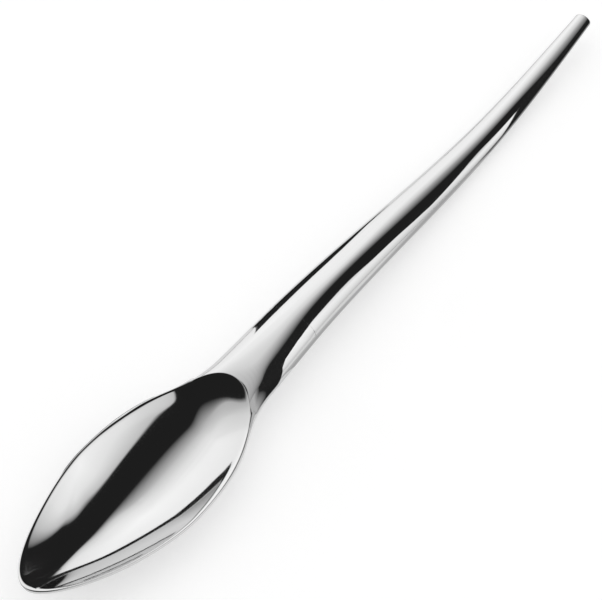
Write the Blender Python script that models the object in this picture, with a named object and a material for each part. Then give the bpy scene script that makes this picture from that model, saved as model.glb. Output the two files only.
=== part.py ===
"""Teaspoon: a forged leaf-shaped bowl whose solid neck carries a hollow, two-shell handle."""
import bpy
import bmesh
import numpy as np

# All sizes are in metres. X runs from the bowl tip to the tail, Z up from the table.

# Stations along the spoon, measured from the bowl tip
LENGTH = 0.1400
FRONT = 0.0130
WIDEST = 0.0262
BOWL_LOW = 0.0250
SHOULDER = 0.0400
NECK = 0.0518
THROAT = 0.0630
MIDDLE = 0.0910
TAIL_LOW = 0.1150

# Widths seen from above
BOWL_WIDTH = 0.0225
NECK_WIDTH = 0.0104
THROAT_WIDTH = 0.0093
MIDDLE_WIDTH = 0.0070
LOW_WIDTH = 0.0050
TAIL_WIDTH = 0.00275
TIP_PULL = 0.0053
FRONT_PULL = 0.0076
REAR_PULL = 0.0162
NECK_PULL = 0.0096

# Heights above the table of the widest line, which is the rim on the bowl
TIP_HEIGHT = 0.00789
FRONT_HEIGHT = 0.00561
RIM_HEIGHT = 0.00493
SHOULDER_HEIGHT = 0.00462
NECK_HEIGHT = 0.00416
THROAT_HEIGHT = 0.00453
MIDDLE_HEIGHT = 0.00286
LOW_LIFT = 0.00018
TAIL_HEIGHT = 0.00431

# Thicknesses of the neck and the handle
NECK_THICKNESS = 0.0060
THROAT_THICKNESS = 0.0056
MIDDLE_THICKNESS = 0.0042
LOW_THICKNESS = 0.0028
TAIL_THICKNESS = 0.0020

# Bowl
FRONT_DEPTH = 0.0047
SHOULDER_DEPTH = 0.00395
RIM_CROWN = 0.0007
CROWN_START = 0.0330
CROWN_END = 0.0540
RIM_WIDTH = 0.0006
BOWL_WALL = 0.0013
SHOULDER_WALL = 0.0017
REAR_WALL = 0.0025
REAR_FLOOR_SETBACK = 0.0050
OPENING_SETBACK = 0.0024
OPENING_CORNER_SETBACK = 0.0049
OPENING_CORNER_LAND = 0.0011
OPENING_PULL = 0.0103
CORNER_PULL = 0.0030
ARC_PULL = 0.0016
ARC_HALF_FLAT = 0.0022
CUTTER_RISE = 0.0040
CUTTER_OVERRUN = 0.0003
REST_FLAT_DEPTH = 0.00010

# Handle construction
JOINT = 0.0640
HANDLE_WALL = 0.0007
SPIGOT_LENGTH = 0.0060
PLUG_HEAD = 0.0030
PLUG_SPIGOT = 0.0050
PLUG_ROUND = 0.0004
TANG_WIDTH = 0.0032
TANG_THICKNESS = 0.0012
TANG_SOCKET = 0.0060
TANG_REACH = 0.0250

# Clearances
SEAM_GAP = 0.00010
FIT_GAP = 0.00010
TANG_GAP = 0.00015

# Fineness of the surfaces
SIDES = 48
STEP = 0.0022
RIM_POINTS = 44
BOWL_RINGS = 12

# Roundness of the underside: nearly parabolic below the bowl, elliptical on the handle
BOWL_ROUNDNESS = 1.2
HANDLE_ROUNDNESS = 2.0


def bezier(start, pull_start, pull_end, end, count):
    """Points of one cubic curve."""
    t = np.linspace(0.0, 1.0, count)[:, None]
    points = [np.array(p, float) for p in (start, pull_start, pull_end, end)]
    weights = ((1 - t) ** 3, 3 * t * (1 - t) ** 2, 3 * t * t * (1 - t), t ** 3)
    return sum(w * p for w, p in zip(weights, points))


def spline(xs, ys):
    """Natural cubic spline through the given points, returned as a function."""
    xs = np.array(xs, float)
    ys = np.array(ys, float)
    steps = np.diff(xs)
    slopes = np.diff(ys) / steps
    last = len(xs) - 1
    matrix = np.eye(last + 1)
    right = np.zeros(last + 1)
    for i in range(1, last):
        matrix[i, i - 1:i + 2] = steps[i - 1], 2 * (steps[i - 1] + steps[i]), steps[i]
        right[i] = 6 * (slopes[i] - slopes[i - 1])
    bends = np.linalg.solve(matrix, right)

    def value(x):
        i = np.clip(np.searchsorted(xs, x) - 1, 0, last - 1)
        a = (xs[i + 1] - x) / steps[i]
        b = 1 - a
        curve = (a ** 3 - a) * bends[i] + (b ** 3 - b) * bends[i + 1]
        return a * ys[i] + b * ys[i + 1] + curve * steps[i] ** 2 / 6

    return value


# Handle width, and the bowl outline that runs into it without a kink
handle_half_width = spline(
    (NECK, THROAT, MIDDLE, TAIL_LOW, LENGTH),
    (NECK_WIDTH / 2, THROAT_WIDTH / 2, MIDDLE_WIDTH / 2, LOW_WIDTH / 2, TAIL_WIDTH / 2),
)
NUDGE = STEP / 100
neck_slope = (handle_half_width(NECK + NUDGE) - handle_half_width(NECK)) / NUDGE
bowl_outline = np.vstack([
    bezier((0, 0), (0, TIP_PULL), (WIDEST - FRONT_PULL, BOWL_WIDTH / 2), (WIDEST, BOWL_WIDTH / 2), 400),
    bezier((WIDEST, BOWL_WIDTH / 2), (WIDEST + REAR_PULL, BOWL_WIDTH / 2),
           (NECK - NECK_PULL, NECK_WIDTH / 2 - NECK_PULL * neck_slope), (NECK, NECK_WIDTH / 2), 400)[1:],
])


def half_width(x):
    """Half the width seen from above, from the tip to the tail."""
    bowl = np.interp(x, bowl_outline[:, 0], bowl_outline[:, 1])
    return np.where(np.asarray(x) < NECK, bowl, handle_half_width(x))


edge_height = spline(
    (0, FRONT, WIDEST, SHOULDER, NECK, THROAT, MIDDLE, TAIL_LOW, LENGTH),
    (TIP_HEIGHT, FRONT_HEIGHT, RIM_HEIGHT, SHOULDER_HEIGHT, NECK_HEIGHT, THROAT_HEIGHT, MIDDLE_HEIGHT,
     LOW_THICKNESS / 2 + LOW_LIFT, TAIL_HEIGHT),
)
HANDLE_STATIONS = (NECK, THROAT, MIDDLE, TAIL_LOW, LENGTH)
HANDLE_HALVES = tuple(t / 2 for t in (NECK_THICKNESS, THROAT_THICKNESS, MIDDLE_THICKNESS,
                                      LOW_THICKNESS, TAIL_THICKNESS))
handle_half_thickness = spline(HANDLE_STATIONS, HANDLE_HALVES)
# The depth is splined as squares, so that the underside closes round at the tip
depth_squared = spline(
    (0, FRONT, BOWL_LOW, SHOULDER) + HANDLE_STATIONS,
    np.square((0, FRONT_DEPTH, edge_height(BOWL_LOW) + REST_FLAT_DEPTH, SHOULDER_DEPTH) + HANDLE_HALVES),
)


def ease(x, start, end):
    """Soft step from 0 at the start to 1 at the end."""
    t = np.clip((x - start) / (end - start), 0, 1)
    return t ** 3 * (10 - 15 * t + 6 * t * t)


def crown(x):
    """Rise of the top surface above the widest line: slight on the rim, half round on the handle."""
    rim = RIM_CROWN * np.sqrt(1 - np.clip(1 - x / FRONT, 0, 1) ** 2)
    blend = ease(x, CROWN_START, CROWN_END)
    return rim + (handle_half_thickness(x) - rim) * blend


def depth(x):
    """Drop of the underside below the widest line."""
    return np.sqrt(np.maximum(depth_squared(x), 0))


def top_height(x, y):
    """Height of the top surface, as it would be with no bowl sunk into it."""
    share = np.clip(np.abs(y) / np.maximum(half_width(x), NUDGE), 0, 1)
    return edge_height(x) + crown(x) * np.sqrt(1 - share ** 2)


def section(x, inset=0.0, count=SIDES):
    """Closed cross-section at x, pulled in by the inset on all sides."""
    angle = np.linspace(0, 2 * np.pi, count, endpoint=False)
    roundness = BOWL_ROUNDNESS + (HANDLE_ROUNDNESS - BOWL_ROUNDNESS) * ease(x, WIDEST, NECK)
    rise = np.abs(np.sin(angle)) ** np.where(angle < np.pi, 1, 2 / roundness)
    reach = np.where(angle < np.pi, crown(x) - inset, inset - depth(x))
    y = (half_width(x) - inset) * np.cos(angle)
    z = edge_height(x) + reach * rise
    return np.column_stack([np.full(count, x), y, z])


def stations(start, end):
    """Evenly spaced stations, both ends included."""
    return np.linspace(start, end, int(round((end - start) / STEP)) + 1)


def loft(name, rings, collection):
    """Closed solid through rings of points; a ring of one point closes to a tip."""
    bm = bmesh.new()
    loops = [[bm.verts.new((p[0] - LENGTH / 2, p[1], p[2])) for p in ring] for ring in rings]
    for near, far in zip(loops, loops[1:]):
        count = len(far)
        for i in range(count):
            j = (i + 1) % count
            if len(near) == 1:
                bm.faces.new((near[0], far[i], far[j]))
            else:
                bm.faces.new((near[i], far[i], far[j], near[j]))
    for end in (loops[0], loops[-1]):
        if len(end) > 1:
            bm.faces.new(end)
    bmesh.ops.recalc_face_normals(bm, faces=bm.faces)
    mesh = bpy.data.meshes.new(name)
    bm.to_mesh(mesh)
    bm.free()
    mesh.shade_smooth()
    mesh.set_sharp_from_angle(angle=np.radians(35))
    piece = bpy.data.objects.new(name, mesh)
    collection.objects.link(piece)
    return piece


def material(name, colour, metallic, roughness):
    """Plain Principled material."""
    made = bpy.data.materials.new(name)
    made.use_nodes = True
    shader = made.node_tree.nodes["Principled BSDF"]
    shader.inputs["Base Color"].default_value = (*colour, 1.0)
    shader.inputs["Metallic"].default_value = metallic
    shader.inputs["Roughness"].default_value = roughness
    return made


def cut(piece, cutter):
    """Take the cutter's volume out of the piece."""
    cutter.hide_render = True
    cutter.display_type = "WIRE"
    step = piece.modifiers.new("Cut " + cutter.name, "BOOLEAN")
    step.operation = "DIFFERENCE"
    step.solver = "EXACT"
    step.object = cutter


def opening_outline():
    """Half of the bowl opening seen from above, from the tip edge round to the rear edge."""
    wide = BOWL_WIDTH / 2 - RIM_WIDTH
    corner_x = NECK - OPENING_CORNER_SETBACK
    corner = np.array([corner_x, half_width(corner_x) - OPENING_CORNER_LAND])
    rear = NECK - OPENING_SETBACK
    lean = np.array([0.75, -0.66])
    front = bezier((RIM_WIDTH, 0), (RIM_WIDTH, TIP_PULL - RIM_WIDTH / 2),
                   (WIDEST - FRONT_PULL, wide), (WIDEST, wide), 400)
    side = bezier((WIDEST, wide), (WIDEST + OPENING_PULL, wide),
                  corner - CORNER_PULL * lean, corner, 400)
    arc = bezier(corner, corner + ARC_PULL * lean, (rear, ARC_HALF_FLAT), (rear, 0), 400)
    return np.vstack([front, side[1:], arc[1:]])


def bowl_cutter(collection):
    """Scoop that hollows the bowl: rings from the lowest point to just past the rim, then straight up."""
    outline = opening_outline()
    rear = outline[-1, 0]
    floor_x = np.array([FRONT, WIDEST, SHOULDER])
    floor_z = edge_height(floor_x) - depth(floor_x) + (BOWL_WALL, BOWL_WALL, SHOULDER_WALL)
    rear_x = NECK - OPENING_SETBACK - REAR_FLOOR_SETBACK
    rear_z = edge_height(rear_x) - depth(rear_x) + REAR_WALL
    floor = spline(
        (RIM_WIDTH, *floor_x, rear_x, rear),
        (top_height(RIM_WIDTH, 0), *floor_z, rear_z, top_height(rear, 0)),
    )

    def scoop_height(x, y):
        x = np.clip(x, RIM_WIDTH, rear)
        reach = np.interp(x, outline[:, 0], outline[:, 1])
        share = np.clip(np.abs(y) / np.maximum(reach, NUDGE), 0, 1)
        return floor(x) + (top_height(x, reach) - floor(x)) * share ** 2

    run = np.concatenate([[0], np.cumsum(np.hypot(*np.diff(outline, axis=0).T))])
    even = np.linspace(0, run[-1], RIM_POINTS + 1)
    half = np.column_stack([np.interp(even, run, outline[:, i]) for i in (0, 1)])
    rim = np.vstack([half, half[-2:0:-1] * (1, -1)])
    centre = np.array([WIDEST, 0.0])
    spokes = rim - centre
    overrun = CUTTER_OVERRUN * spokes / np.linalg.norm(spokes, axis=1)[:, None]

    def ring(plan):
        return np.column_stack([plan, scoop_height(plan[:, 0], plan[:, 1])])

    rings = [[(*centre, scoop_height(*centre))]]
    rings += [ring(centre + share * spokes) for share in np.linspace(0, 1, BOWL_RINGS + 1)[1:-1]]
    rings.append(ring(rim - overrun))
    # The last band carries the wall on past the rim, so that the edge is cut in the middle of it
    rings.append(2 * ring(rim) - rings[-1])
    rings.append(np.column_stack([rim + overrun, np.full(len(rim), TIP_HEIGHT + CUTTER_RISE)]))
    return loft("bowl_scoop", rings, collection)


def rest_cutter(collection):
    """Slab under the table level, which leaves the small flat that the bowl rests on."""
    half = BOWL_WIDTH / 2
    corners = np.array([(-half, -half), (half, -half), (half, half), (-half, half)])
    rings = []
    for z in (-half, 0.0):
        rings.append(np.column_stack([corners + (WIDEST, 0), np.full(4, z)]))
    return loft("rest_slab", rings, collection)


def tang_rings(grow, start, end):
    """Flat bar that follows the middle of the handle."""
    corners = np.array([(1, 1), (-1, 1), (-1, -1), (1, -1)])
    half = np.array([TANG_WIDTH / 2 + grow, TANG_THICKNESS / 2 + grow])
    rings = []
    for x in stations(start, end):
        plan = corners * half + (0, edge_height(x))
        rings.append(np.column_stack([np.full(4, x), plan]))
    return rings


TANG_START = JOINT - TANG_SOCKET
TANG_END = JOINT + SPIGOT_LENGTH + TANG_REACH
TAIL_FACE = LENGTH - PLUG_HEAD


def make_bowl(parts, cutters, finish):
    """Forged bowl and solid neck, with a spigot that enters the mouth of the handle."""
    tip = np.linspace(0, 1, 9)[1:-1] ** 2 * FRONT / 3
    rings = [[(0, 0, edge_height(0))]]
    rings += [section(x) for x in tip]
    rings += [section(x) for x in stations(FRONT / 3, JOINT)]
    rings += [section(x, HANDLE_WALL + FIT_GAP) for x in stations(JOINT, JOINT + SPIGOT_LENGTH)]
    bowl = loft("bowl", rings, parts)
    cut(bowl, bowl_cutter(cutters))
    cut(bowl, rest_cutter(cutters))
    end = JOINT + 2 * SPIGOT_LENGTH
    cut(bowl, loft("tang_socket", tang_rings(TANG_GAP, TANG_START, end), cutters))
    bowl.data.materials.append(finish)


def make_tang(parts, finish):
    """Bar brazed into the neck, which ties the bowl to the core of the handle."""
    tang = loft("tang", tang_rings(0.0, TANG_START + TANG_GAP, TANG_END), parts)
    tang.data.materials.append(finish)


def make_shell(name, side, parts, finish):
    """Half of the hollow handle; side is 1 for the upper half and -1 for the lower half."""
    turn = np.linspace(0, np.pi, SIDES // 2 + 1)
    rings = []
    for x in stations(JOINT + FIT_GAP, TAIL_FACE - FIT_GAP):
        reach = crown(x) if side > 0 else depth(x)
        ring = []
        for inset, sweep in ((0.0, turn), (HANDLE_WALL, turn[::-1])):
            y = (half_width(x) - inset) * np.cos(sweep)
            z = np.maximum((reach - inset) * np.sin(sweep), SEAM_GAP / 2)
            ring.append(np.column_stack([np.full(len(y), x), y, edge_height(x) + side * z]))
        rings.append(np.vstack(ring))
    shell = loft(name, rings, parts)
    shell.data.materials.append(finish)


def make_core(parts, cutters, filler):
    """Cast filler between the two spigots, with the slot that the tang leaves in it."""
    start = JOINT + SPIGOT_LENGTH + FIT_GAP
    end = TAIL_FACE - PLUG_SPIGOT - FIT_GAP
    rings = [section(x, HANDLE_WALL + FIT_GAP, SIDES) for x in stations(start, end)]
    core = loft("handle_core", rings, parts)
    cut(core, loft("tang_slot", tang_rings(TANG_GAP, JOINT, TANG_END + TANG_GAP), cutters))
    core.data.materials.append(filler)


def make_plug(parts, finish):
    """Turned plug that closes the tail: a spigot inside the shells and a head flush with them."""
    rings = [section(x, HANDLE_WALL + FIT_GAP) for x in stations(TAIL_FACE - PLUG_SPIGOT, TAIL_FACE)]
    rings += [section(x) for x in stations(TAIL_FACE, LENGTH - PLUG_ROUND)]
    for angle in np.radians((30, 60, 90)):
        rings.append(section(LENGTH - PLUG_ROUND * (1 - np.sin(angle)), PLUG_ROUND * (1 - np.cos(angle))))
    plug = loft("tail_plug", rings, parts)
    plug.data.materials.append(finish)


for old in list(bpy.data.objects):
    bpy.data.objects.remove(old, do_unlink=True)
spoon = bpy.data.collections.new("Teaspoon")
tools = bpy.data.collections.new("Cutters")
for group in (spoon, tools):
    bpy.context.scene.collection.children.link(group)

make_bowl(spoon, tools, material("bowl steel", (0.78, 0.78, 0.77), 1.0, 0.06))
make_tang(spoon, material("tang steel", (0.55, 0.55, 0.54), 1.0, 0.35))
make_shell("handle_upper_shell", 1, spoon, material("upper shell steel", (0.77, 0.77, 0.76), 1.0, 0.06))
make_shell("handle_lower_shell", -1, spoon, material("lower shell steel", (0.76, 0.76, 0.75), 1.0, 0.06))
make_core(spoon, tools, material("core resin", (0.36, 0.33, 0.28), 0.0, 0.7))
make_plug(spoon, material("plug steel", (0.77, 0.77, 0.76), 1.0, 0.07))
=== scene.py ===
"""Dressed teaspoon: mirror-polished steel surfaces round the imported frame, on a pale studio floor."""
import bmesh
import bpy
import numpy as np
from mathutils import Matrix, Vector


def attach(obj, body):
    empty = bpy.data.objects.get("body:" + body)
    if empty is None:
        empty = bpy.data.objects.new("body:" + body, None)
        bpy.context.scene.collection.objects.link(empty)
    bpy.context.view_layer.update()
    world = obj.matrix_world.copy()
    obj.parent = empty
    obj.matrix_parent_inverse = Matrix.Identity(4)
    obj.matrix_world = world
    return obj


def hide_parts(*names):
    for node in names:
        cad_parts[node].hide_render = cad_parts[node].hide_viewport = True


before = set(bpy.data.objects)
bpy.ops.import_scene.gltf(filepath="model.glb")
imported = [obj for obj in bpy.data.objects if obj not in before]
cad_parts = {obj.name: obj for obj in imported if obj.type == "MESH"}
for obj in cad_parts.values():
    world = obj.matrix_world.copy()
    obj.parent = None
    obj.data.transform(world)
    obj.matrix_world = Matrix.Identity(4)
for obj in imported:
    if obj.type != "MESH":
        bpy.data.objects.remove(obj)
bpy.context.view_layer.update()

# All sizes are in metres. X runs from the bowl tip to the tail, Z up from the table.

# Stations along the spoon, measured from the bowl tip; the frame's origin lies halfway
LENGTH = 0.1400
ORIGIN = LENGTH / 2
FRONT = 0.0130
WIDEST = 0.0262
BOWL_LOW = 0.0250
SHOULDER = 0.0400
NECK = 0.0518
THROAT = 0.0630
MIDDLE = 0.0910
TAIL_LOW = 0.1150

# Widths seen from above
BOWL_WIDTH = 0.0225
NECK_WIDTH = 0.0104
THROAT_WIDTH = 0.0093
MIDDLE_WIDTH = 0.0070
LOW_WIDTH = 0.0050
TAIL_WIDTH = 0.00275
TIP_PULL = 0.0053
FRONT_PULL = 0.0076
REAR_PULL = 0.0162
NECK_PULL = 0.0096

# Heights above the table of the widest line, which is the rim on the bowl
TIP_HEIGHT = 0.00789
FRONT_HEIGHT = 0.00561
RIM_HEIGHT = 0.00493
SHOULDER_HEIGHT = 0.00462
NECK_HEIGHT = 0.00416
THROAT_HEIGHT = 0.00453
MIDDLE_HEIGHT = 0.00286
LOW_LIFT = 0.00018
TAIL_HEIGHT = 0.00431

# Thicknesses of the neck and the handle
NECK_THICKNESS = 0.0060
THROAT_THICKNESS = 0.0056
MIDDLE_THICKNESS = 0.0042
LOW_THICKNESS = 0.0028
TAIL_THICKNESS = 0.0020

# Bowl
FRONT_DEPTH = 0.0047
SHOULDER_DEPTH = 0.00395
RIM_CROWN = 0.0007
CROWN_START = 0.0330
CROWN_END = 0.0540
RIM_WIDTH = 0.0006
BOWL_WALL = 0.0013
SHOULDER_WALL = 0.0017
REAR_WALL = 0.0025
REAR_FLOOR_SETBACK = 0.0050
OPENING_SETBACK = 0.0024
OPENING_CORNER_SETBACK = 0.0049
OPENING_CORNER_LAND = 0.0011
OPENING_PULL = 0.0103
CORNER_PULL = 0.0030
ARC_PULL = 0.0016
ARC_HALF_FLAT = 0.0022
OPENING_LEAN = (0.75, -0.66)
REST_FLAT_DEPTH = 0.00010
REST_FLAT_BLEND = 0.00005
EDGE_ROUND = 0.00005
LIP_ROUND = 0.00035
LIP_WIDTHS = (0.0006, 0.0011)

# Handle construction; the seams are ground flush, so the gaps are hairlines
JOINT = 0.0640
HANDLE_WALL = 0.0007
SPIGOT_LENGTH = 0.0060
PLUG_HEAD = 0.0030
PLUG_SPIGOT = 0.0050
PLUG_ROUND = 0.0004
TANG_WIDTH = 0.0032
TANG_THICKNESS = 0.0012
TANG_SOCKET = 0.0060
FIT_GAP = 0.00010
TANG_GAP = 0.00015
HAIRLINE = 0.000002

# Roundness of the underside: nearly parabolic below the bowl, elliptical on the handle
BOWL_ROUNDNESS = 1.2
HANDLE_ROUNDNESS = 2.0

# Fineness of the surfaces
CURVE_POINTS = 3000
OUTLINE_STEP = 0.0006
TURN_STEP = np.radians(2.6)
DISH_RINGS = 44
EDGE_RINGS = 4
LAND_RINGS = 16
UNDER_POINTS = 72
HANDLE_STEP = 0.0006
PLUG_RINGS = 6
PLUG_BENDS = 6
HALVINGS = 60

# Small steps for slopes, and the least length that is divided by
NUDGE = 0.00002
ANGLE_NUDGE = 0.001
LEAST = 1e-12

# Camera, in degrees, metres and pixels of a 602 x 600 image
CAMERA_AZIMUTH = -48.889
CAMERA_ELEVATION = 48.988
CAMERA_ROLL = -5.624
CAMERA_DISTANCE = 0.900
CAMERA_TARGET = (-0.00116, 0.00216, 0.00414)
FOCAL_PIXELS = 5968.8
IMAGE_WIDTH = 602

# Polished steel: its grey, faint clouds, and polishing marks drawn out along the spoon
STEEL = (0.62, 0.62, 0.62)
CLOUD_SCALE = 160.0
CLOUD_DETAIL = 3.0
CLOUD_TINT = 0.97
MARK_STRETCH = (60.0, 2600.0, 2600.0)
MARK_DETAIL = 2.0
POLISH_ROUGHNESS = (0.030, 0.075)

# Inner pieces: colours, grain and roughness
TANG_COLOUR = (0.55, 0.55, 0.54)
TANG_ROUGHNESS = (0.28, 0.45)
CORE_COLOUR = (0.36, 0.33, 0.28)
CORE_ROUGHNESS = (0.60, 0.85)
GRAIN_SCALE = 900.0
GRAIN_DETAIL = 4.0
GRAIN_TINT = 0.8

# Studio
SOFT_LIGHT = 0.8
FLOOR_COLOUR = 0.75
FLOOR_ROUGHNESS = 0.9
FLOOR_LIFT = 0.40
FLOOR_HALF = 1.5
DRAPE_LEVEL = 0.020
DRAPE_RADIUS = 4.0
DRAPE_SEGMENTS = 48
DRAPE_RINGS = 24
SHEET_DISTANCE = 1.2

# Lit cloths on a flat map of the sky, where a place is a step to the camera's right and a step straight
# ahead, from 0 overhead to 2 at the horizon. Each cloth has its middle with the light there, and rings of
# equal light: their distances from the middle at a few turns, in degrees leftward from the camera's right.
SHEET_POINTS = 120
SOFTBOX = {
    "middle": (-0.30, 0.90, 0.92),
    "turns": (0, 30, 45, 50, 60, 68, 90, 135, 180, 210, 225, 240, 255, 270, 285, 300, 315, 335),
    "rings": (
        (0.76, (0.45, 0.75, 0.90, 0.95, 1.10, 1.30, 1.05, 1.08, 0.30,
                0.18, 0.17, 0.14, 0.14, 0.15, 0.17, 0.25, 0.33, 0.40)),
        (0.62, (0.62, 0.84, 0.98, 1.03, 1.17, 1.37, 1.07, 1.12, 1.10,
                0.85, 0.82, 0.60, 0.37, 0.31, 0.28, 0.34, 0.46, 0.50)),
        (0.42, (0.68, 0.88, 1.01, 1.06, 1.20, 1.40, 1.08, 1.14, 1.45,
                1.22, 1.13, 1.16, 0.87, 0.63, 0.48, 0.42, 0.52, 0.57)),
        (0.00, (0.72, 0.91, 1.04, 1.09, 1.24, 1.42, 1.10, 1.15, 1.50,
                1.34, 1.21, 1.26, 1.21, 1.10, 0.90, 0.68, 0.64, 0.64)),
    ),
}
REFLECTOR = {
    "middle": (0.90, 0.05, 0.88),
    "turns": (-10, 20, 45, 60, 75, 90, 120, 150, 171, 180, 188, 196, 201, 207, 214, 240, 300),
    "rings": (
        (0.75, (0.45, 0.40, 0.42, 0.33, 0.20, 0.18, 0.16, 0.18, 0.24,
                0.27, 0.28, 0.29, 0.30, 0.32, 0.34, 0.45, 0.80)),
        (0.50, (1.07, 0.95, 0.85, 0.66, 0.43, 0.33, 0.28, 0.31, 0.44,
                0.48, 0.495, 0.51, 0.53, 0.62, 0.67, 0.82, 1.38)),
        (0.00, (1.10, 1.12, 1.18, 1.12, 0.60, 0.43, 0.36, 0.37, 0.47,
                0.505, 0.525, 0.54, 0.565, 0.665, 0.715, 0.93, 1.42)),
    ),
}

# Lit strip above the neck and the handle: lines of equal light, as place along the spoon and across it
STRIP_COLUMNS = 120
STRIP_HEIGHTS = ((0.055, 0.0120), (0.075, 0.0200))
HANDLE_STRIP = (
    (0.00, ((0.0515, -0.0150), (0.054, -0.0110), (0.056, -0.0070), (0.060, -0.0048), (0.070, -0.0028),
            (0.082, -0.0008), (0.122, 0.0000), (0.129, -0.0010), (0.136, -0.0078), (0.165, -0.0065))),
    (0.30, ((0.0515, -0.0095), (0.054, -0.0056), (0.058, -0.0031), (0.064, -0.0013), (0.074, 0.0007),
            (0.086, 0.0025), (0.104, 0.0039), (0.122, 0.0056), (0.135, 0.0004), (0.165, 0.0000))),
    (0.62, ((0.0515, 0.0060), (0.054, 0.0016), (0.058, 0.0004), (0.064, 0.0015), (0.072, 0.0034),
            (0.088, 0.0050), (0.112, 0.0098), (0.124, 0.0094), (0.140, 0.0050), (0.165, 0.0056))),
    (0.80, ((0.0515, 0.0120), (0.058, 0.0080), (0.064, 0.0058), (0.074, 0.0074), (0.084, 0.0076),
            (0.100, 0.0102), (0.116, 0.0155), (0.132, 0.0125), (0.165, 0.0140))),
    (0.86, ((0.0515, 0.0200), (0.058, 0.0160), (0.064, 0.0130), (0.074, 0.0130), (0.084, 0.0130),
            (0.100, 0.0150), (0.116, 0.0200), (0.132, 0.0180), (0.165, 0.0190))),
)
# Black strip just over it: its two long edges
BAND_HEIGHTS = ((0.055, 0.0123), (0.075, 0.0203))
BAND_STRIP = (
    (0.00, ((0.0555, -0.0080), (0.058, -0.0045), (0.064, -0.0030), (0.080, 0.0005), (0.122, 0.0030),
            (0.136, -0.0040), (0.165, -0.0030))),
    (0.00, ((0.0555, -0.0090), (0.060, -0.0090), (0.064, -0.0090), (0.068, -0.0095), (0.070, -0.0114),
            (0.073, -0.0116), (0.079, -0.0108), (0.089, -0.0103),
            (0.096, -0.0131), (0.1075, -0.0160), (0.113, -0.0190), (0.118, -0.0215), (0.121, -0.0190),
            (0.1226, -0.0105), (0.1245, -0.0090), (0.1285, -0.0120), (0.165, -0.0120))),
)

# Shade on the table along the handle's right side, and a deeper one at the tail: lines of equal light
SHADE_HEIGHTS = ((0.060, 0.0002),)
FLOOR_SHADE = (
    (0.50, ((0.060, -0.0040), (0.090, -0.0035), (0.120, -0.0025), (0.180, -0.0025))),
    (0.31, ((0.060, -0.0072), (0.075, -0.0068), (0.104, -0.0060), (0.180, -0.0060))),
    (0.40, ((0.060, -0.0140), (0.068, -0.0115), (0.080, -0.0088), (0.092, -0.0097), (0.104, -0.0160),
            (0.116, -0.0300), (0.180, -0.0450))),
    (0.62, ((0.060, -0.0300), (0.074, -0.0220), (0.080, -0.0150), (0.092, -0.0170), (0.104, -0.0280),
            (0.116, -0.0480), (0.180, -0.0700))),
)
TAIL_SHADE_HEIGHTS = ((0.112, 0.0004),)
TAIL_SHADE = (
    (0.30, ((0.112, -0.0036), (0.128, -0.0039), (0.140, -0.0058), (0.146, -0.0085), (0.152, -0.0190),
            (0.170, -0.0500))),
    (0.00, ((0.112, -0.0066), (0.122, -0.0083), (0.134, -0.0140), (0.146, -0.0220), (0.152, -0.0300),
            (0.170, -0.0600))),
    (0.00, ((0.112, -0.0072), (0.122, -0.0096), (0.128, -0.0170), (0.134, -0.0260), (0.146, -0.0450),
            (0.170, -0.0900))),
    (0.30, ((0.112, -0.0110), (0.122, -0.0215), (0.128, -0.0310), (0.134, -0.0380), (0.146, -0.0600),
            (0.170, -0.1100))),
)

# Black cards that stand beside the spoon: distance to its side, and corners as place along it and height
BLACK_CARDS = {
    "left_card": (0.031, ((0.0742, 0), (0.1130, 0), (0.1130, 0.0010), (0.1083, 0.0057), (0.1056, 0.0099),
                          (0.1025, 0.0133), (0.0980, 0.0158), (0.0845, 0.0188), (0.0742, 0.0194))),
    "rim_card": (0.014, ((0.0235, 0), (0.0455, 0), (0.0455, 0.0067), (0.043, 0.0072), (0.036, 0.0072),
                         (0.033, 0.0074), (0.030, 0.0079), (0.0285, 0.0084), (0.0260, 0.0095),
                         (0.0235, 0.0095))),
    "neck_card": (-0.008, ((0.0525, 0.0010), (0.0560, 0.0010), (0.0566, 0.0040), (0.0580, 0.0073),
                           (0.0600, 0.0096), (0.0636, 0.0114), (0.0690, 0.0136), (0.0695, 0.0181),
                           (0.0550, 0.0123), (0.0533, 0.0092), (0.0530, 0.0060))),
    "tail_card": (-0.012, ((0.120, 0), (0.180, 0), (0.180, 0.0205), (0.1310, 0.0205))),
}

# Grey cloth that softens the neck card's front edge: lines of equal light, as place along and height
NECK_FADE_SIDE = -0.008
NECK_FADE = (
    (0.40, ((0.0460, 0.0010), (0.0460, 0.0060), (0.0470, 0.0092), (0.0500, 0.0123))),
    (0.40, ((0.0500, 0.0010), (0.0505, 0.0060), (0.0520, 0.0092), (0.0538, 0.0123))),
    (0.00, ((0.0526, 0.0010), (0.0531, 0.0060), (0.0534, 0.0092), (0.0551, 0.0123))),
)

# Curves

def bezier(start, pull_start, pull_end, end):
    """Points of one cubic curve."""
    t = np.linspace(0.0, 1.0, CURVE_POINTS)[:, None]
    points = [np.array(p, float) for p in (start, pull_start, pull_end, end)]
    weights = ((1 - t) ** 3, 3 * t * (1 - t) ** 2, 3 * t * t * (1 - t), t ** 3)
    return sum(w * p for w, p in zip(weights, points))


def spline(xs, ys):
    """Natural cubic spline through the given points, returned as a function."""
    xs = np.array(xs, float)
    ys = np.array(ys, float)
    steps = np.diff(xs)
    rates = np.diff(ys) / steps
    last = len(xs) - 1
    matrix = np.eye(last + 1)
    right = np.zeros(last + 1)
    for i in range(1, last):
        matrix[i, i - 1:i + 2] = steps[i - 1], 2 * (steps[i - 1] + steps[i]), steps[i]
        right[i] = 6 * (rates[i] - rates[i - 1])
    bends = np.linalg.solve(matrix, right)

    def value(x):
        i = np.clip(np.searchsorted(xs, x) - 1, 0, last - 1)
        a = (xs[i + 1] - x) / steps[i]
        b = 1 - a
        curve = (a ** 3 - a) * bends[i] + (b ** 3 - b) * bends[i + 1]
        return a * ys[i] + b * ys[i + 1] + curve * steps[i] ** 2 / 6

    return value


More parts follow.
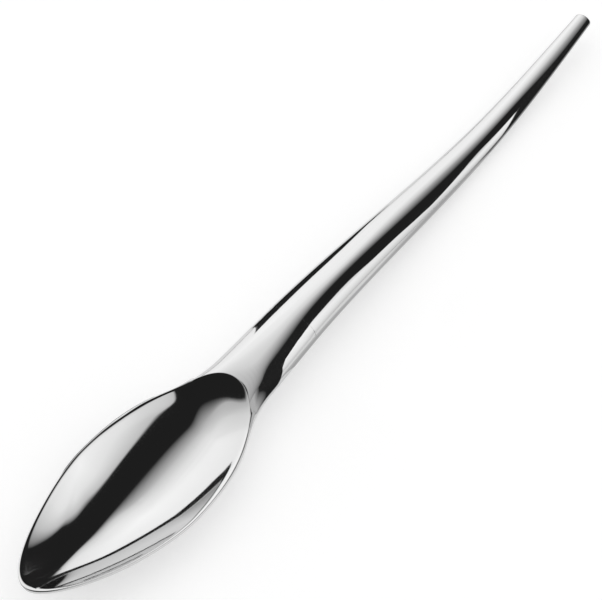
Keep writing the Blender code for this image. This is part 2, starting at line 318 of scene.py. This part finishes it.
def ease(x, start, end):
    """Soft step from 0 at the start to 1 at the end."""
    t = np.clip((x - start) / (end - start), 0, 1)
    return t ** 3 * (10 - 15 * t + 6 * t * t)


# Outer form of the spoon

HANDLE_STATIONS = (NECK, THROAT, MIDDLE, TAIL_LOW, LENGTH)
handle_half_width = spline(
    HANDLE_STATIONS,
    (NECK_WIDTH / 2, THROAT_WIDTH / 2, MIDDLE_WIDTH / 2, LOW_WIDTH / 2, TAIL_WIDTH / 2),
)
neck_slope = (handle_half_width(NECK + NUDGE) - handle_half_width(NECK)) / NUDGE
bowl_outline = np.vstack([
    bezier((0, 0), (0, TIP_PULL), (WIDEST - FRONT_PULL, BOWL_WIDTH / 2), (WIDEST, BOWL_WIDTH / 2)),
    bezier((WIDEST, BOWL_WIDTH / 2), (WIDEST + REAR_PULL, BOWL_WIDTH / 2),
           (NECK - NECK_PULL, NECK_WIDTH / 2 - NECK_PULL * neck_slope), (NECK, NECK_WIDTH / 2))[1:],
])
edge_height = spline(
    (0, FRONT, WIDEST, SHOULDER) + HANDLE_STATIONS,
    (TIP_HEIGHT, FRONT_HEIGHT, RIM_HEIGHT, SHOULDER_HEIGHT, NECK_HEIGHT, THROAT_HEIGHT, MIDDLE_HEIGHT,
     LOW_THICKNESS / 2 + LOW_LIFT, TAIL_HEIGHT),
)
HANDLE_HALVES = tuple(t / 2 for t in (NECK_THICKNESS, THROAT_THICKNESS, MIDDLE_THICKNESS,
                                      LOW_THICKNESS, TAIL_THICKNESS))
handle_half_thickness = spline(HANDLE_STATIONS, HANDLE_HALVES)
# The depth is splined as squares, so that the underside closes round at the tip
depth_squared = spline(
    (0, FRONT, BOWL_LOW, SHOULDER) + HANDLE_STATIONS,
    np.square((0, FRONT_DEPTH, edge_height(BOWL_LOW) + REST_FLAT_DEPTH, SHOULDER_DEPTH) + HANDLE_HALVES),
)


def half_width(x):
    """Half the width seen from above, from the tip to the tail."""
    bowl = np.interp(x, bowl_outline[:, 0], bowl_outline[:, 1])
    return np.where(np.asarray(x) < NECK, bowl, handle_half_width(x))


def crown(x):
    """Rise of the top surface above the widest line: slight on the rim, half round on the handle."""
    rim = RIM_CROWN * np.sqrt(1 - np.clip(1 - x / FRONT, 0, 1) ** 2)
    return rim + (handle_half_thickness(x) - rim) * ease(x, CROWN_START, CROWN_END)


def depth(x):
    """Drop of the underside below the widest line."""
    return np.sqrt(np.maximum(depth_squared(x), 0))


def skin(x, angle, inset=0.0):
    """Points of the outer skin; the angle turns from the +Y edge over the top and back underneath."""
    x, angle = np.broadcast_arrays(x, angle)
    sine = np.sin(angle)
    top = sine >= 0
    roundness = BOWL_ROUNDNESS + (HANDLE_ROUNDNESS - BOWL_ROUNDNESS) * ease(x, WIDEST, NECK)
    rise = np.abs(sine) ** np.where(top, 1, 2 / roundness)
    reach = np.where(top, crown(x) - inset, inset - depth(x))
    z = edge_height(x) + reach * rise
    z = (z + np.sqrt(z * z + REST_FLAT_BLEND ** 2)) / 2
    return np.stack([x, (half_width(x) - inset) * np.cos(angle), z], axis=-1)


def skin_normal(x, angle):
    """Outward unit normals of the outer skin."""
    x, angle = np.broadcast_arrays(x, angle)
    before = np.maximum(x - NUDGE, 0)
    after = np.minimum(x + NUDGE, LENGTH)
    along = skin(after, angle) - skin(before, angle)
    around = skin(x, angle + ANGLE_NUDGE) - skin(x, angle - ANGLE_NUDGE)
    return unit(np.cross(around, along))


def unit(vectors):
    """Vectors scaled to a length of 1."""
    return vectors / np.maximum(np.linalg.norm(vectors, axis=-1, keepdims=True), LEAST)


def top_angle(x, y):
    """Angle of the skin point that lies at y on the upper side."""
    return np.arccos(np.clip(y / np.maximum(half_width(x), NUDGE), -1, 1))


# Inside of the bowl

def opening_outline():
    """Half of the bowl opening seen from above, from the tip edge round to the rear edge."""
    wide = BOWL_WIDTH / 2 - RIM_WIDTH
    corner_x = NECK - OPENING_CORNER_SETBACK
    corner = np.array([corner_x, half_width(corner_x) - OPENING_CORNER_LAND])
    rear = NECK - OPENING_SETBACK
    lean = np.array(OPENING_LEAN)
    front = bezier((RIM_WIDTH, 0), (RIM_WIDTH, TIP_PULL - RIM_WIDTH / 2),
                   (WIDEST - FRONT_PULL, wide), (WIDEST, wide))
    side = bezier((WIDEST, wide), (WIDEST + OPENING_PULL, wide), corner - CORNER_PULL * lean, corner)
    arc = bezier(corner, corner + ARC_PULL * lean, (rear, ARC_HALF_FLAT), (rear, 0))
    return np.vstack([front, side[1:], arc[1:]])


outline = opening_outline()
REAR = outline[-1, 0]


def edge_top(x, y):
    """Height of the outer skin above a point of the plan."""
    return skin(x, top_angle(x, y))[..., 2]


floor_stations = np.array([FRONT, WIDEST, SHOULDER])
floor_walls = np.array([BOWL_WALL, BOWL_WALL, SHOULDER_WALL])
rear_foot = REAR - REAR_FLOOR_SETBACK
floor_height = spline(
    (RIM_WIDTH, *floor_stations, rear_foot, REAR),
    (edge_top(RIM_WIDTH, 0), *(edge_height(floor_stations) - depth(floor_stations) + floor_walls),
     edge_height(rear_foot) - depth(rear_foot) + REAR_WALL, edge_top(REAR, 0)),
)


def dish_height(x, y):
    """Height of the hollow's surface."""
    x = np.clip(x, RIM_WIDTH, REAR)
    reach = np.interp(x, outline[:, 0], outline[:, 1])
    share = np.clip(np.abs(y) / np.maximum(reach, NUDGE), 0, 1)
    return floor_height(x) + (edge_top(x, reach) - floor_height(x)) * share ** 2


def opening_ring():
    """Plan points round the whole opening, closer together where it turns, and their outward normals."""
    tangent = unit(np.gradient(outline, axis=0))
    heading = np.unwrap(np.arctan2(tangent[:, 1], tangent[:, 0]))
    steps = np.hypot(*np.diff(outline, axis=0).T) / OUTLINE_STEP + np.abs(np.diff(heading)) / TURN_STEP
    run = np.concatenate([[0], np.cumsum(steps)])
    even = np.linspace(0, run[-1], int(round(run[-1])) + 1)
    half = np.column_stack([np.interp(even, run, outline[:, i]) for i in (0, 1)])
    turn = np.interp(even, run, heading)
    out = np.column_stack([-np.sin(turn), np.cos(turn)])
    out[0] = (-1, 0)
    out[-1] = (1, 0)
    mirror = (1, -1)
    return np.vstack([half, half[-2:0:-1] * mirror]), np.vstack([out, out[-2:0:-1] * mirror])


def rim_reach(start, out):
    """Where lines drawn outward from the opening meet the spoon's outline or the joint."""
    near = np.zeros(len(start))
    far = np.full(len(start), LENGTH / 2)
    for _ in range(HALVINGS):
        middle = (near + far) / 2
        point = start + middle[:, None] * out
        inside = (point[:, 0] > 0) & (point[:, 0] < JOINT)
        inside &= np.abs(point[:, 1]) < half_width(np.clip(point[:, 0], 0, JOINT))
        near = np.where(inside, middle, near)
        far = np.where(inside, far, middle)
    return start + near[:, None] * out


# Mesh building

class Surface:
    """Gathers grids of points, with their smooth normals, into one closed mesh."""

    def __init__(self):
        self.points = []
        self.normals = []
        self.faces = []
        self.plain_from = None

    def add(self, points, normals=None):
        """Store points and return their numbers, in the same grid."""
        points = np.asarray(points, float)
        flat = points.reshape(-1, 3)
        start = len(self.points)
        self.points.extend(flat - (ORIGIN, 0, 0))
        if normals is None:
            normals = np.zeros_like(flat)
        self.normals.extend(np.asarray(normals).reshape(-1, 3))
        return np.arange(start, start + len(flat)).reshape(points.shape[:-1])

    def strip(self, grid, closed=False):
        """Faces between neighbouring rows of point numbers; repeated points close to triangles."""
        following = np.roll(grid, -1, axis=1) if closed else grid[:, 1:]
        leading = grid if closed else grid[:, :-1]
        for rows in zip(leading[:-1], following[:-1], following[1:], leading[1:]):
            for quad in zip(*rows):
                corners = list(dict.fromkeys(int(i) for i in quad))
                if len(corners) > 2:
                    self.faces.append(corners)

    def plain(self):
        """Faces added from here on are flat joint faces with no smooth normals."""
        self.plain_from = len(self.faces)

    def build(self, name, finish):
        """One mesh object with the stored normals on its smooth faces."""
        mesh = bpy.data.meshes.new(name)
        mesh.from_pydata([tuple(p) for p in self.points], [], self.faces)
        bm = bmesh.new()
        bm.from_mesh(mesh)
        bmesh.ops.recalc_face_normals(bm, faces=bm.faces)
        bm.to_mesh(mesh)
        bm.free()
        mesh.materials.append(finish)
        normals = np.array(self.normals)
        split = np.zeros((len(mesh.loops), 3))
        smooth_faces = len(self.faces) if self.plain_from is None else self.plain_from
        for face in mesh.polygons:
            face.use_smooth = True
            if face.index < smooth_faces:
                for loop in face.loop_indices:
                    split[loop] = normals[mesh.loops[loop].vertex_index]
        mesh.normals_split_custom_set([tuple(n) for n in split])
        piece = bpy.data.objects.new(name, mesh)
        bpy.context.scene.collection.objects.link(piece)
        return piece


def slopes(grid, axis):
    """Direction of a grid's lines at each point, exact to second order on uneven spacing."""
    before = grid - np.roll(grid, 1, axis=axis)
    after = np.roll(grid, -1, axis=axis) - grid
    back = np.linalg.norm(before, axis=-1, keepdims=True)
    ahead = np.linalg.norm(after, axis=-1, keepdims=True)
    return before * (ahead / np.maximum(back, LEAST)) + after * (back / np.maximum(ahead, LEAST))


def in_plan(points):
    """Hollow's surface over plan points."""
    return np.concatenate([points, dish_height(points[..., 0], points[..., 1])[..., None]], axis=-1)


def bend(start, corner, end, t):
    """Points of the curve that starts and ends along the two sides of a corner."""
    return (1 - t) ** 2 * start + 2 * t * (1 - t) * corner + t * t * end


def bowl_edge(rim, out):
    """Outer end of each line across the land, and the number of the one at the joint's corner."""
    outer = rim_reach(rim, out)
    corner_near = np.abs(outer - (JOINT, half_width(JOINT))).sum(axis=1)
    corner = int(np.argmin(corner_near[:len(rim) // 2]))
    outer[corner] = JOINT, half_width(JOINT)
    outer[-corner] = JOINT, -half_width(JOINT)
    return outer, corner


def bowl_top(rim, out, outer):
    """Middle of the hollow, rings from there to the outer edge, their normals and the edge's angles."""
    lip = 1 - ease(np.linalg.norm(outer - rim, axis=1), *LIP_WIDTHS)[:, None]
    rounding = EDGE_ROUND + (LIP_ROUND - EDGE_ROUND) * lip

    # Land between the opening and the outer edge
    first = rim + rounding * out
    spread = 1 - (1 - np.linspace(0, 1, LAND_RINGS + 1)) ** 2
    land = first + spread[:, None, None] * (outer - first)
    land_angle = top_angle(land[..., 0], land[..., 1])
    land_points = skin(land[..., 0], land_angle)
    land_normals = skin_normal(land[..., 0], land_angle)

    # Hollow, out to where its edge begins to round over
    centre = np.array([WIDEST, 0.0])
    inner = rim - rounding * out
    shares = np.linspace(0, 1, DISH_RINGS + 1)[1:-1]
    rings = [in_plan(centre + share * (inner - centre)) for share in shares]
    begin = in_plan(inner)

    # Edge: crisp where the neck begins, and a full round lip along the free rim
    sharp = np.column_stack([rim, edge_top(rim[:, 0], rim[:, 1])])
    shares = np.linspace(0, 1, EDGE_RINGS + 2)[1:-1]
    crisp = np.array([bend(begin, sharp, land_points[0], t) for t in shares] + list(land_points))
    climb = (begin - in_plan(inner - NUDGE * out))[:, 2] / NUDGE
    peak = np.column_stack([outer, begin[:, 2] + climb * np.linalg.norm(outer - inner, axis=1)])
    shares = np.linspace(0, 1, len(crisp) + 1)[1:, None, None]
    edge = lip * bend(begin, peak, land_points[-1], shares) + (1 - lip) * crisp

    # Normals of the whole grid, and of the skin itself where the land is plain
    grid = np.concatenate([rings, begin[None], edge])
    normals = unit(np.cross(slopes(grid, 0), slopes(grid, 1)))
    bottom = in_plan(centre)
    around = np.roll(grid[0], -1, axis=0) - np.roll(grid[0], 1, axis=0)
    normals[0] = unit(np.cross(grid[0] - bottom, around))
    normals *= np.sign(normals[..., 2:3])
    lands = slice(len(grid) - LAND_RINGS - 1, len(grid))
    normals[lands] = unit(lip * normals[lands] + (1 - lip) * land_normals)
    normals[-1] = land_normals[-1]
    return bottom, grid, normals, land_angle[-1]


def add_underside(shape, edge, outer, corner):
    """Half sections from one outer edge to the other, closing at the tip; returns the last one."""
    left = edge[:corner + 1]
    right = np.concatenate([edge[:1], edge[:-corner - 1:-1]])
    sweep = -np.linspace(0, np.pi, UNDER_POINTS + 1)[1:-1]
    stations = outer[1:corner + 1, 0][:, None]
    under = shape.add(skin(stations, sweep), skin_normal(stations, sweep))
    under = np.vstack([np.full((1, under.shape[1]), left[0]), under])
    shape.strip(np.column_stack([left, under, right]))
    return under[-1], sweep


def add_spigot(shape, loop, angles):
    """Shoulder at the joint, spigot and the socket for the tang."""
    shape.plain()
    half = np.array([TANG_WIDTH / 2 + TANG_GAP, TANG_THICKNESS / 2 + TANG_GAP])
    flat = np.column_stack([np.cos(angles), np.sin(angles)])
    mouth = flat / np.max(np.abs(flat) / half, axis=1, keepdims=True)
    rows = [loop]
    for x in (JOINT, JOINT + SPIGOT_LENGTH):
        rows.append(shape.add(skin(x, angles, HANDLE_WALL + FIT_GAP)))
    for x in (JOINT + SPIGOT_LENGTH, JOINT - TANG_SOCKET):
        rows.append(shape.add(np.column_stack([np.full(len(angles), x), mouth + (0, edge_height(x))])))
    end = shape.add((JOINT - TANG_SOCKET, 0, edge_height(JOINT - TANG_SOCKET)))
    rows.append(np.full(len(angles), int(end)))
    shape.strip(np.vstack(rows), closed=True)


def make_bowl(finish):
    """Bowl with its rounded rim, solid neck and the spigot and tang socket inside the handle."""
    rim, out = opening_ring()
    outer, corner = bowl_edge(rim, out)
    bottom, grid, normals, edge_angles = bowl_top(rim, out, outer)
    shape = Surface()
    pole = shape.add(bottom, unit(normals[0].mean(axis=0)))
    top = shape.add(grid, normals)
    shape.strip(np.vstack([np.full((1, len(rim)), int(pole)), top]), closed=True)
    under, sweep = add_underside(shape, top[-1], outer, corner)
    rear = slice(corner, len(rim) - corner + 1)
    loop = np.concatenate([top[-1, rear], under[::-1]])
    add_spigot(shape, loop, np.concatenate([edge_angles[rear], sweep[::-1]]))
    return shape.build("polished_bowl", finish)


def make_shell(name, side, finish):
    """Half of the hollow handle; side is 1 for the upper half and -1 for the lower half."""
    start = JOINT + HAIRLINE
    end = LENGTH - PLUG_HEAD - HAIRLINE
    x = np.linspace(start, end, int(round((end - start) / HANDLE_STEP)) + 1)[:, None]
    reach = crown(x) if side > 0 else depth(x)
    lift = np.arcsin(HAIRLINE / 2 / reach)
    share = np.linspace(0, 1, UNDER_POINTS // 2 + 1)
    angle = side * (lift + share * (np.pi - 2 * lift))
    inner_angle = angle[:, ::-1]
    shape = Surface()
    outside = shape.add(skin(x, angle), skin_normal(x, angle))
    shape.strip(outside)
    shape.plain()
    inside = shape.add(skin(x, inner_angle, HANDLE_WALL))
    shape.strip(inside)
    for sides in ((outside[:, -1], inside[:, 0]), (inside[:, -1], outside[:, 0])):
        shape.strip(np.column_stack(sides))
    for row in (0, -1):
        shape.strip(np.vstack([outside[row], inside[row, ::-1]]))
    return shape.build(name, finish)


def make_plug(finish):
    """Tail plug: a spigot inside the shells and a head flush with them, rounded off at the end."""
    angle = np.linspace(0, 2 * np.pi, UNDER_POINTS, endpoint=False)
    face = LENGTH - PLUG_HEAD
    head = np.linspace(face, LENGTH - PLUG_ROUND, PLUG_RINGS)
    points = [skin(x, angle) for x in head]
    normals = [skin_normal(x, angle) for x in head]
    for turn in np.linspace(0, np.pi / 2, PLUG_BENDS + 1)[1:]:
        x = LENGTH - PLUG_ROUND * (1 - np.sin(turn))
        points.append(skin(x, angle, PLUG_ROUND * (1 - np.cos(turn))))
        normals.append(unit(np.cos(turn) * normals[PLUG_RINGS - 1] + (np.sin(turn), 0, 0)))
    shape = Surface()
    outside = shape.add(points, normals)
    tail = shape.add((LENGTH, 0, edge_height(LENGTH)), (1, 0, 0))
    shape.strip(np.vstack([outside, np.full((1, UNDER_POINTS), int(tail))]), closed=True)
    shape.plain()
    rows = [outside[0]]
    for x in (face, face - PLUG_SPIGOT):
        rows.append(shape.add(skin(x, angle, HANDLE_WALL + FIT_GAP)))
    end = shape.add((face - PLUG_SPIGOT, 0, edge_height(face - PLUG_SPIGOT)))
    rows.append(np.full(UNDER_POINTS, int(end)))
    shape.strip(np.vstack(rows), closed=True)
    return shape.build("polished_tail_plug", finish)


# Materials

def new_material(name):
    """Node material, with its tree and its Principled shader."""
    made = bpy.data.materials.new(name)
    made.use_nodes = True
    return made, made.node_tree, made.node_tree.nodes["Principled BSDF"]


def noise(tree, place, scale, detail):
    """Noise pattern over a place vector."""
    texture = tree.nodes.new("ShaderNodeTexNoise")
    texture.inputs["Scale"].default_value = scale
    texture.inputs["Detail"].default_value = detail
    tree.links.new(place, texture.inputs["Vector"])
    return texture.outputs["Fac"]


def vary_colour(tree, shader, pattern, colour, tint):
    """Base colour that runs with a pattern from a darker tint to the full colour."""
    mix = tree.nodes.new("ShaderNodeMix")
    mix.data_type = "RGBA"
    mix.inputs["A"].default_value = (*[tint * c for c in colour], 1)
    mix.inputs["B"].default_value = (*colour, 1)
    tree.links.new(pattern, mix.inputs["Factor"])
    tree.links.new(mix.outputs["Result"], shader.inputs["Base Color"])


def vary_roughness(tree, shader, pattern, limits):
    """Roughness that runs with a pattern between two limits."""
    gloss = tree.nodes.new("ShaderNodeMapRange")
    gloss.inputs["To Min"].default_value = limits[0]
    gloss.inputs["To Max"].default_value = limits[1]
    tree.links.new(pattern, gloss.inputs["Value"])
    tree.links.new(gloss.outputs["Result"], shader.inputs["Roughness"])


def polished_steel(name):
    """Mirror-polished stainless steel: faint cloudiness, and hairline polishing marks along the spoon."""
    made, tree, shader = new_material(name)
    shader.inputs["Metallic"].default_value = 1.0
    place = tree.nodes.new("ShaderNodeTexCoord").outputs["Object"]
    vary_colour(tree, shader, noise(tree, place, CLOUD_SCALE, CLOUD_DETAIL), STEEL, CLOUD_TINT)
    stretch = tree.nodes.new("ShaderNodeMapping")
    stretch.inputs["Scale"].default_value = MARK_STRETCH
    tree.links.new(place, stretch.inputs["Vector"])
    marks = noise(tree, stretch.outputs["Vector"], 1.0, MARK_DETAIL)
    vary_roughness(tree, shader, marks, POLISH_ROUGHNESS)
    return made


def dull_material(name, colour, metallic, roughness):
    """Inner pieces: brushed bar or cast filler with an uneven surface."""
    made, tree, shader = new_material(name)
    shader.inputs["Metallic"].default_value = metallic
    place = tree.nodes.new("ShaderNodeTexCoord").outputs["Object"]
    grain = noise(tree, place, GRAIN_SCALE, GRAIN_DETAIL)
    vary_colour(tree, shader, grain, colour, GRAIN_TINT)
    vary_roughness(tree, shader, grain, roughness)
    return made


# Studio

def background_rays(tree):
    """1 for camera, glossy and transmission rays, and 0 for the rest."""
    path = tree.nodes.new("ShaderNodeLightPath")
    rays = path.outputs["Is Camera Ray"]
    for kind in ("Is Glossy Ray", "Is Transmission Ray"):
        either = tree.nodes.new("ShaderNodeMath")
        either.operation = "MAXIMUM"
        tree.links.new(rays, either.inputs[0])
        tree.links.new(path.outputs[kind], either.inputs[1])
        rays = either.outputs["Value"]
    return rays


def make_world():
    """White surroundings that give soft light from everywhere."""
    world = bpy.data.worlds.new("studio")
    world.use_nodes = True
    tree = world.node_tree
    strength = tree.nodes.new("ShaderNodeMapRange")
    strength.inputs["To Min"].default_value = SOFT_LIGHT
    strength.inputs["To Max"].default_value = 1.0
    tree.links.new(background_rays(tree), strength.inputs["Value"])
    background = tree.nodes["Background"]
    background.inputs["Color"].default_value = (1, 1, 1, 1)
    tree.links.new(strength.outputs["Result"], background.inputs["Strength"])
    bpy.context.scene.world = world


def stage_mesh(name, mesh, made):
    """Object of the studio around the spoon, with its material."""
    mesh.materials.append(made)
    prop = bpy.data.objects.new(name, mesh)
    bpy.context.scene.collection.objects.link(prop)
    return prop


def make_floor():
    """Pale table top that keeps the spoon's soft shadow."""
    made, tree, shader = new_material("pale table")
    shader.inputs["Base Color"].default_value = (*[FLOOR_COLOUR] * 3, 1)
    shader.inputs["Roughness"].default_value = FLOOR_ROUGHNESS
    shader.inputs["Emission Color"].default_value = (1, 1, 1, 1)
    lift = tree.nodes.new("ShaderNodeMath")
    lift.operation = "MULTIPLY"
    lift.inputs[1].default_value = FLOOR_LIFT
    tree.links.new(background_rays(tree), lift.inputs[0])
    tree.links.new(lift.outputs["Value"], shader.inputs["Emission Strength"])
    corners = [(FLOOR_HALF * x, FLOOR_HALF * y, 0) for x, y in ((-1, -1), (1, -1), (1, 1), (-1, 1))]
    mesh = bpy.data.meshes.new("table")
    mesh.from_pydata(corners, [], [range(len(corners))])
    stage_mesh("table", mesh, made)


def reflection_only(prop):
    """Let only mirror reflections see a prop, so that it neither shows nor shades the table."""
    prop.visible_camera = False
    prop.visible_diffuse = False
    prop.visible_shadow = False
    prop.visible_transmission = False


def glow_material(name):
    """Emission at the level of the dark drape, with its tree and its shader."""
    made = bpy.data.materials.new(name)
    made.use_nodes = True
    tree = made.node_tree
    tree.nodes.clear()
    glow = tree.nodes.new("ShaderNodeEmission")
    glow.inputs["Strength"].default_value = DRAPE_LEVEL
    tree.links.new(glow.outputs["Emission"], tree.nodes.new("ShaderNodeOutputMaterial").inputs["Surface"])
    return made, tree, glow


def sky(right, ahead):
    """Unit direction of a point on the flat map of the sky."""
    turn = np.radians(CAMERA_AZIMUTH)
    x = right * np.cos(turn) - ahead * np.sin(turn)
    y = right * np.sin(turn) + ahead * np.cos(turn)
    return np.array([4 * x, 4 * y, 4 - x * x - y * y]) / (4 + x * x + y * y)


def lit_cloth(name, points, levels, faces):
    """Cloth that only shows as a reflection; each point has the brightness that it shows in the steel."""
    mesh = bpy.data.meshes.new(name)
    mesh.from_pydata(points, [], faces)
    stored = mesh.attributes.new("level", "FLOAT", "POINT")
    stored.data.foreach_set("value", [level / STEEL[0] for level in levels])
    made, tree, glow = glow_material(name)
    reader = tree.nodes.new("ShaderNodeAttribute")
    reader.attribute_name = "level"
    strength = tree.nodes.new("ShaderNodeMath")
    strength.operation = "ADD"
    strength.inputs[1].default_value = DRAPE_LEVEL
    tree.links.new(reader.outputs["Fac"], strength.inputs[0])
    tree.links.new(strength.outputs["Value"], glow.inputs["Strength"])
    reflection_only(stage_mesh(name, mesh, made))


def make_sheet(name, sheet):
    """Lit cloth far round the spoon, whose light runs evenly from one smooth ring to the next."""
    right, ahead, light = sheet["middle"]
    points, levels, faces = [SHEET_DISTANCE * sky(right, ahead)], [light], []
    turns = np.linspace(0, 360, SHEET_POINTS, endpoint=False)
    around = np.concatenate([np.add(sheet["turns"], lap) for lap in (-360, 0, 360)])
    for level, reach in sheet["rings"]:
        ring = len(points)
        far = spline(around, reach * 3)(turns)
        for turn, away in zip(np.radians(turns), far):
            points.append(SHEET_DISTANCE * sky(right + away * np.cos(turn), ahead + away * np.sin(turn)))
            levels.append(level)
        for i in range(SHEET_POINTS):
            j = (i + 1) % SHEET_POINTS
            inner = (0,) if ring == 1 else (ring + j - SHEET_POINTS, ring + i - SHEET_POINTS)
            faces.append((ring + i, ring + j, *inner))
    lit_cloth(name, points, levels, faces)


def row_faces(rows, columns):
    """Faces between neighbouring rows of points that were stored one row after another."""
    starts = [row * columns + i for row in range(rows - 1) for i in range(columns - 1)]
    return [(i, i + 1, i + 1 + columns, i + columns) for i in starts]


def make_strip(name, lines, heights):
    """Cloth along the spoon, whose light runs evenly from one long line to the next."""
    start, end = lines[0][1][0][0], lines[0][1][-1][0]
    along = np.linspace(start, end, STRIP_COLUMNS)
    height = np.interp(along, *zip(*heights))
    points, levels = [], []
    for level, places in lines:
        across = spline(*zip(*places))(along)
        points.extend(zip(along - ORIGIN, across, height))
        levels.extend([level] * STRIP_COLUMNS)
    lit_cloth(name, points, levels, row_faces(len(lines), STRIP_COLUMNS))


def make_neck_fade():
    """Upright cloth beside the neck, whose light runs evenly from one line to the next."""
    points, levels = [], []
    for level, places in NECK_FADE:
        points.extend((x - ORIGIN, NECK_FADE_SIDE, z) for x, z in places)
        levels.extend([level] * len(places))
    lit_cloth("neck_fade", points, levels, row_faces(len(NECK_FADE), len(places)))


def make_drape():
    """Near-black cloth all round, which shows as the dark areas in the polished steel."""
    bm = bmesh.new()
    bmesh.ops.create_uvsphere(bm, u_segments=DRAPE_SEGMENTS, v_segments=DRAPE_RINGS, radius=DRAPE_RADIUS)
    mesh = bpy.data.meshes.new("dark drape")
    bm.to_mesh(mesh)
    bm.free()
    reflection_only(stage_mesh("dark_drape", mesh, glow_material("dark drape")[0]))


def make_black_cards():
    """Upright cards that draw the dark lines along the handle, the neck, the rim and the tail."""
    for name, (side, corners) in BLACK_CARDS.items():
        mesh = bpy.data.meshes.new(name)
        mesh.from_pydata([(x - ORIGIN, side, z) for x, z in corners], [], [range(len(corners))])
        reflection_only(stage_mesh(name, mesh, glow_material(name)[0]))


def make_camera():
    """Camera above the bowl's lower left, looking along the spoon."""
    azimuth, elevation, roll = np.radians((CAMERA_AZIMUTH, CAMERA_ELEVATION, CAMERA_ROLL))
    level = np.cos(elevation)
    back = Vector((np.sin(azimuth) * level, -np.cos(azimuth) * level, np.sin(elevation)))
    right = Vector((0, 0, 1)).cross(back).normalized()
    up = back.cross(right)
    side = np.cos(roll) * right + np.sin(roll) * up
    rise = -np.sin(roll) * right + np.cos(roll) * up
    lens = bpy.data.cameras.new("camera")
    lens.lens = FOCAL_PIXELS * lens.sensor_width / IMAGE_WIDTH
    camera = bpy.data.objects.new("camera", lens)
    place = Matrix((side, rise, back)).transposed().to_4x4()
    place.translation = Vector(CAMERA_TARGET) + CAMERA_DISTANCE * back
    camera.matrix_world = place
    bpy.context.scene.collection.objects.link(camera)
    bpy.context.scene.camera = camera


bpy.context.scene.view_settings.view_transform = "Standard"
make_camera()
make_world()
make_floor()
make_drape()
make_sheet("softbox", SOFTBOX)
make_sheet("reflector", REFLECTOR)
make_strip("handle_strip", HANDLE_STRIP, STRIP_HEIGHTS)
make_strip("band_strip", BAND_STRIP, BAND_HEIGHTS)
make_strip("floor_shade", FLOOR_SHADE, SHADE_HEIGHTS)
make_strip("tail_shade", TAIL_SHADE, TAIL_SHADE_HEIGHTS)
make_black_cards()
make_neck_fade()

shells = polished_steel("handle_polish")
dressed = (
    (make_bowl(polished_steel("bowl_polish")), "bowl", "bowl_steel"),
    (make_shell("polished_upper_shell", 1, shells), "handle_upper_shell", "shell_steel"),
    (make_shell("polished_lower_shell", -1, shells), "handle_lower_shell", "shell_steel"),
    (make_plug(polished_steel("plug_polish")), "tail_plug", "plug_steel"),
)
for piece, node, slot in dressed:
    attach(piece, "root")
    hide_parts(node)
inner = {
    "tang": dull_material("tang_brush", TANG_COLOUR, 1.0, TANG_ROUGHNESS),
    "handle_core": dull_material("core_cast", CORE_COLOUR, 0.0, CORE_ROUGHNESS),
}
for node, finish in inner.items():
    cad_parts[node].data.materials.clear()
    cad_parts[node].data.materials.append(finish)
